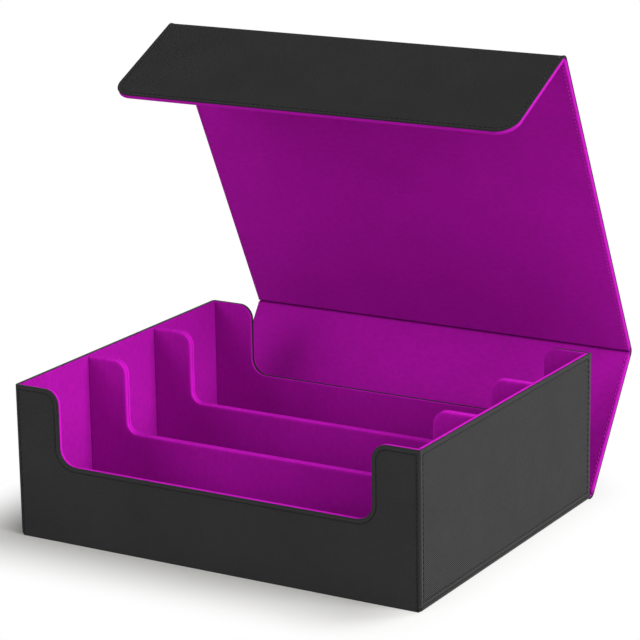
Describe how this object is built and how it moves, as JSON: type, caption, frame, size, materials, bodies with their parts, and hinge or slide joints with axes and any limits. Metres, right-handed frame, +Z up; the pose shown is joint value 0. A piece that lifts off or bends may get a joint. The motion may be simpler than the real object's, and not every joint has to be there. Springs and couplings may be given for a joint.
{
  "type": "card storage box",
  "caption": "Leather-covered tray in rows for trading cards, with wide cut-outs and a wrap-round cover of hinged spine, lid and magnetic front flap.",
  "frame": {"origin": "centre of the tray's underside, on the surface it stands on", "axes": "+Z up, -Y towards the front wall with the flap, +X to the right as seen from the front"},
  "size_m": [0.319, 0.3235, 0.3303],
  "materials": {
    "black_leather": "fine diagonal cross-grain embossed synthetic leather, satin",
    "magenta_lining": "short-nap microfibre",
    "grey_board": "plain rigid grey board",
    "magnet_steel": "nickel-plated disc"
  },
  "bodies": {
    "tray": {"base_board": "grey_board", "base_leather": "black_leather", "floor_board": "grey_board", "floor_lining": "magenta_lining", "front_board": "grey_board", "back_board": "grey_board", "left_board": "grey_board", "right_board": "grey_board", "front_leather": "black_leather", "back_leather": "black_leather", "left_leather": "black_leather", "right_leather": "black_leather", "front_lining": "magenta_lining", "back_lining": "magenta_lining", "left_lining": "magenta_lining", "right_lining": "magenta_lining", "front_divider_board": "grey_board", "front_divider_front_lining": "magenta_lining", "front_divider_rear_lining": "magenta_lining", "rear_divider_board": "grey_board", "rear_divider_front_lining": "magenta_lining", "rear_divider_rear_lining": "magenta_lining", "front_wall_magnets": "magnet_steel"},
    "spine": {"spine_board": "grey_board", "spine_leather": "black_leather", "spine_lining": "magenta_lining", "spine_fold_leather": "black_leather", "spine_fold_lining": "magenta_lining"},
    "lid": {"lid_board": "grey_board", "lid_leather": "black_leather", "lid_lining": "magenta_lining", "lid_fold_leather": "black_leather", "lid_fold_lining": "magenta_lining"},
    "flap": {"flap_board": "grey_board", "flap_leather": "black_leather", "flap_lining": "magenta_lining", "flap_fold_leather": "black_leather", "flap_fold_lining": "magenta_lining", "flap_magnets": "magnet_steel"}
  },
  "joints": [
    {"name": "spine_fold", "type": "hinge", "parent": "tray", "child": "spine", "pos_m": [0, 0.13155, 0.00045], "axis": [-1, 0, 0], "range_deg": [-35, 55], "deforming": ["spine_fold_leather", "spine_fold_lining"]},
    {"name": "lid_fold", "type": "hinge", "parent": "spine", "child": "lid", "pos_m": [0, 0.19665, 0.09342], "axis": [-1, 0, 0], "range_deg": [-29, 61], "deforming": ["lid_fold_leather", "lid_fold_lining"]},
    {"name": "flap_fold", "type": "hinge", "parent": "lid", "child": "flap", "pos_m": [0, 0.08066, 0.33125], "axis": [-1, 0, 0], "range_deg": [0, 90], "deforming": ["flap_fold_leather", "flap_fold_lining"]}
  ]
}
